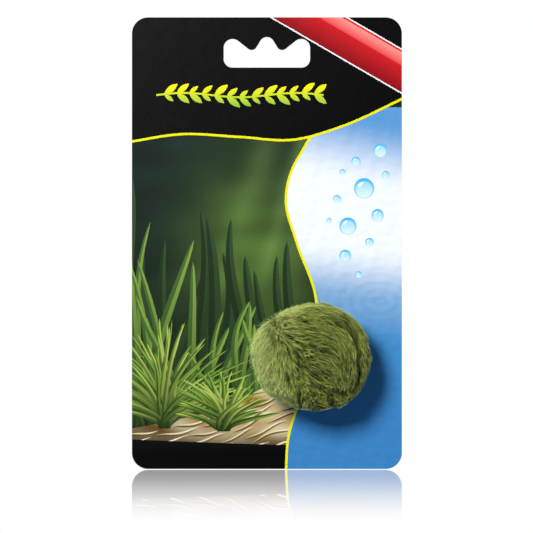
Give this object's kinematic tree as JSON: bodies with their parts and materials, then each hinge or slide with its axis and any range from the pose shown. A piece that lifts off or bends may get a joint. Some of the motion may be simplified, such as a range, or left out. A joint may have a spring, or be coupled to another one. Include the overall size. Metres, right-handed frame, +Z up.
{
  "type": "moss ball on a hanging display card",
  "caption": "Combed plush imitation moss ball over a plastic lattice core, glued to a rounded paperboard card with a peg slot to hang it by.",
  "frame": {"origin": "where the peg bears: the top of the slot's middle notch, at the middle of the card's thickness", "axes": "+X to the right across the card's printed face, +Y from the viewer through the card to its back, +Z up along the card's height"},
  "size_m": [0.1, 0.0428, 0.1673],
  "materials": {
    "printed_card": "offset-printed and coated board, semi-gloss front, plain back",
    "glue": "set hot-melt, milky and smooth",
    "moss_plush": "combed plush pile, moss green, lighter at its tips",
    "core_plastic": "injection-moulded, dark grey, fine matt grain"
  },
  "bodies": {
    "root": {"card": "printed_card", "glue_spot": "glue", "moss_cover": "moss_plush", "lattice_core": "core_plastic"}
  },
  "joints": []
}
